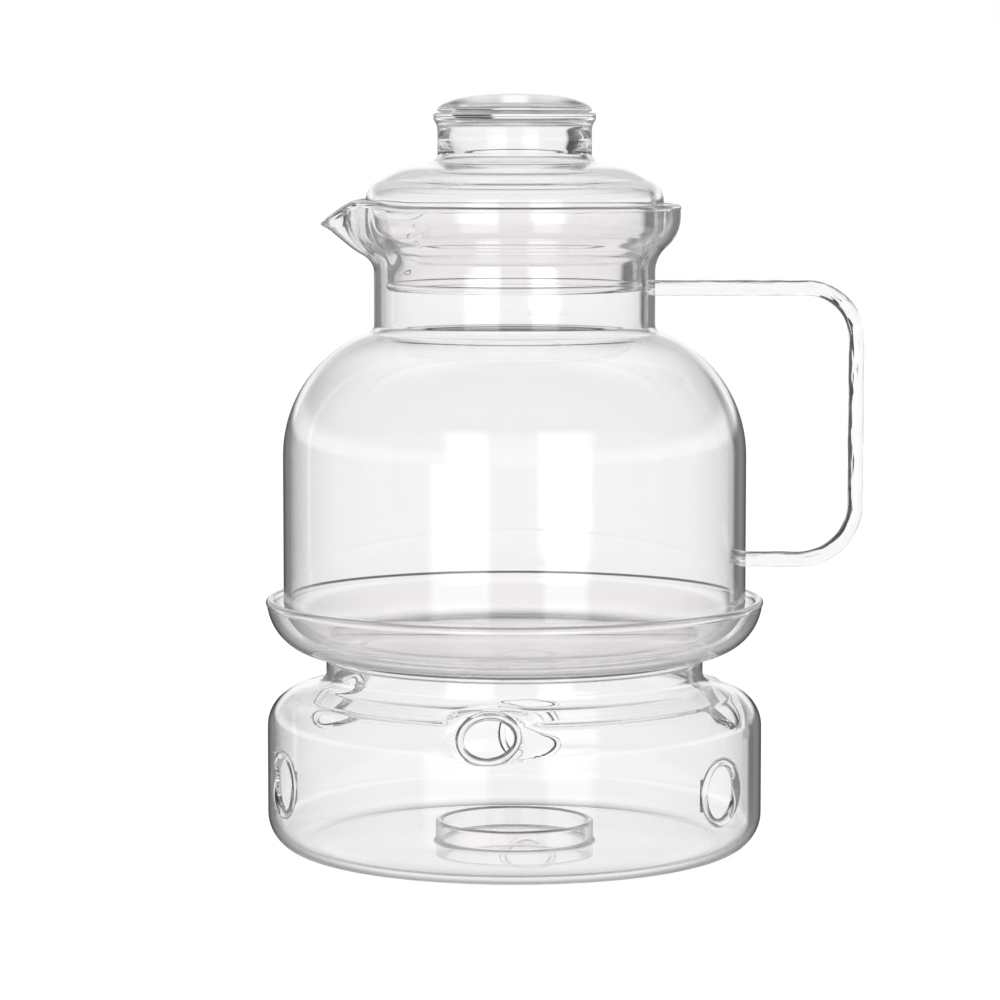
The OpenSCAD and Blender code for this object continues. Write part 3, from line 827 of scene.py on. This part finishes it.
rod_start = np.array((neck_r - rod_sink, handle_top_z))
rod_end = np.array((jug_r - rod_sink, handle_low_z))
rod_path = [rod_start] \
    + arc((handle_x - bend_top_r, handle_top_z - bend_top_r), bend_top_r, up, 0) \
    + arc((handle_x - bend_low_r, handle_low_z + bend_low_r), bend_low_r, 0, down) \
    + [rod_end]
rod_points = [(x, 0, z) for x, z in filled(rod_path, rod_gap)]
handle = grown("handle", rod_points, rod_tree(), **{
    "Thickness": rod_thick, "Width": rod_wide, "Spread": weld_spread, "Spread reach": weld_reach,
    "Streaks": streaks, "Streak length": streak_length, "Streak depth": streak_depth,
    "Glass": blown_glass})
combine(jug, handle, "UNION")
finish_piece(jug, "jug", "jug_glass", "jug_body", "jug_spout", "handle_rod", "handle_weld_top",
             "handle_weld_low")


# ---- lid ----
# One blown glass wall from the skirt, over the full curve that hangs in the
# mouth and the sloping roof, to the waist of the knob, which a thick lens of
# solid glass closes.

lid_wall = 0.0018
lid_space = 0.0031
skirt_space = 0.0021
lid_r = mouth_r - jug_wall - lid_space
skirt_r = neck_r - jug_wall - skirt_space
skirt_h = 0.0069
skirt_bead_r = 0.0013
# The skirt's wall ends above its bead, at that many of the bead's radii up
skirt_lip_up = 0.75
skirt_curve_r = 0.003
lid_seat_r = 0.009
lid_side_h = 0.0076
lid_edge_r = 0.0072
roof_slope = math.radians(19.5)
knob_r = 0.0232
knob_fillet_r = 0.0027
roof_bulge = 0.0009
roof_steps = 16
collar_reach = 0.0012
collar_r = knob_r + collar_reach
collar_curve_r = 0.005
button_edge = 0.002
button_h = 0.0061
seat_gap = 0.0003

seat_c = np.array((lid_r - lid_seat_r, flare_z + math.sqrt(
    (lid_seat_r + seat_gap + flare_low_r + jug_wall) ** 2
    - (neck_r + flare_low_r - lid_r + lid_seat_r) ** 2)))
skirt_c = np.array((skirt_r + skirt_curve_r, seat_c[1] - math.sqrt(
    (lid_seat_r + skirt_curve_r) ** 2 - (skirt_r + skirt_curve_r - seat_c[0]) ** 2)))
skirt_turn = math.atan2(*(seat_c - skirt_c)[::-1])
skirt_z = skirt_c[1] - skirt_h
edge_c = np.array((lid_r - lid_edge_r, seat_c[1] + lid_side_h))
roof_start = edge_c + lid_edge_r * polar(up - roof_slope)
knob_c = np.array((knob_r + knob_fillet_r,
                   roof_start[1] + (roof_start[0] - knob_r - knob_fillet_r) * math.tan(roof_slope)
                   + knob_fillet_r / math.cos(roof_slope)))
collar_turn = math.acos(1 - collar_reach / collar_curve_r)
collar_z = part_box("lid_knob")[1].z - button_edge - button_h
roof_end = knob_c + knob_fillet_r * polar(3 * up - roof_slope)
roof = [roof_start + (roof_end - roof_start) * share
        + polar(up - roof_slope) * roof_bulge * math.sin(math.pi * share)
        for share in np.linspace(0, 1, roof_steps)[1:-1]]

lid_path = [np.array((skirt_r, skirt_z + skirt_bead_r * skirt_lip_up))] \
    + arc(skirt_c, skirt_curve_r, across, skirt_turn) \
    + arc(seat_c, lid_seat_r, skirt_turn - across, 0) \
    + arc(edge_c, lid_edge_r, 0, up - roof_slope) \
    + roof \
    + arc(knob_c, knob_fillet_r, 3 * up - roof_slope, across) \
    + arc((knob_r + collar_curve_r, collar_z - collar_curve_r * math.sin(collar_turn)),
          collar_curve_r, across, across - collar_turn)
skirt_neck = math.acos(lid_wall / 2 / skirt_bead_r)
skirt_lip = arc((skirt_r - lid_wall / 2, skirt_z), skirt_bead_r,
                across - skirt_neck, 2 * across + skirt_neck, bead_step)

# The cap is a lens with a rounded edge, parted from the collar by a fine groove.
cap_top = collar_z + button_edge + button_h
cap_inset = 0.0012
cap_r = collar_r - cap_inset
cap_edge_r = 0.0012
cap_low = 0.0008
cap_high = 0.0051
cap_z = cap_top - cap_high
lens_step = math.radians(3)
collar_edge_r = 0.0006
groove_depth = 0.0008
groove_drop = 0.0002
# The hollow under the cap: its ceiling, and a waist whose thick wall swells inwards
ceiling_drop = 0.0002
ceiling_z = collar_z - ceiling_drop
ceiling_edge_r = 0.0013
waist_in = 0.0207
waist_bulge = 0.0012
waist_h = 0.0105
waist_low = collar_z - waist_h
waist_steps = 14


def oval_arc(centre, wide, high, start, end, step):
    """Points along an arc of an ellipse."""
    angles = np.linspace(start, end, math.ceil(abs(end - start) / step) + 1)
    return [np.array(centre) + polar(a) * (wide, high) for a in angles]


cap_path = oval_arc((cap_r - cap_edge_r, cap_z), cap_edge_r, cap_low, down, 0, bead_step) \
    + oval_arc((0, cap_z), cap_r, cap_high, 0, up, lens_step)
cap_path[-1] = np.array((0, cap_top))
groove = np.array((cap_r - groove_depth, cap_z - cap_low - groove_drop))
collar_edge = arc((collar_r - collar_edge_r, cap_z - cap_low - collar_edge_r), collar_edge_r,
                  0, up, bead_step)
roof_inside = [point for point in moved_in(lid_path, lid_wall) if point[1] < waist_low]
ceiling_c = (waist_in - ceiling_edge_r, ceiling_z - ceiling_edge_r)
ceiling = [np.array((0, ceiling_z))] + arc(ceiling_c, ceiling_edge_r, up, 0, bead_step)
waist_inside = [ceiling[-1] + (roof_inside[-1] - ceiling[-1]) * share
                - np.array((waist_bulge * math.sin(math.pi * share), 0))
                for share in np.linspace(0, 1, waist_steps)[1:-1]]
lid_profile = filled(ceiling + waist_inside + roof_inside[::-1]) + skirt_lip + filled(lid_path) \
    + filled(collar_edge + [groove] + cap_path)
lid = turned("lid_glass", lid_profile, blown_glass)
finish_piece(lid, "lid", "lid_glass", "lid_body", "lid_knob")
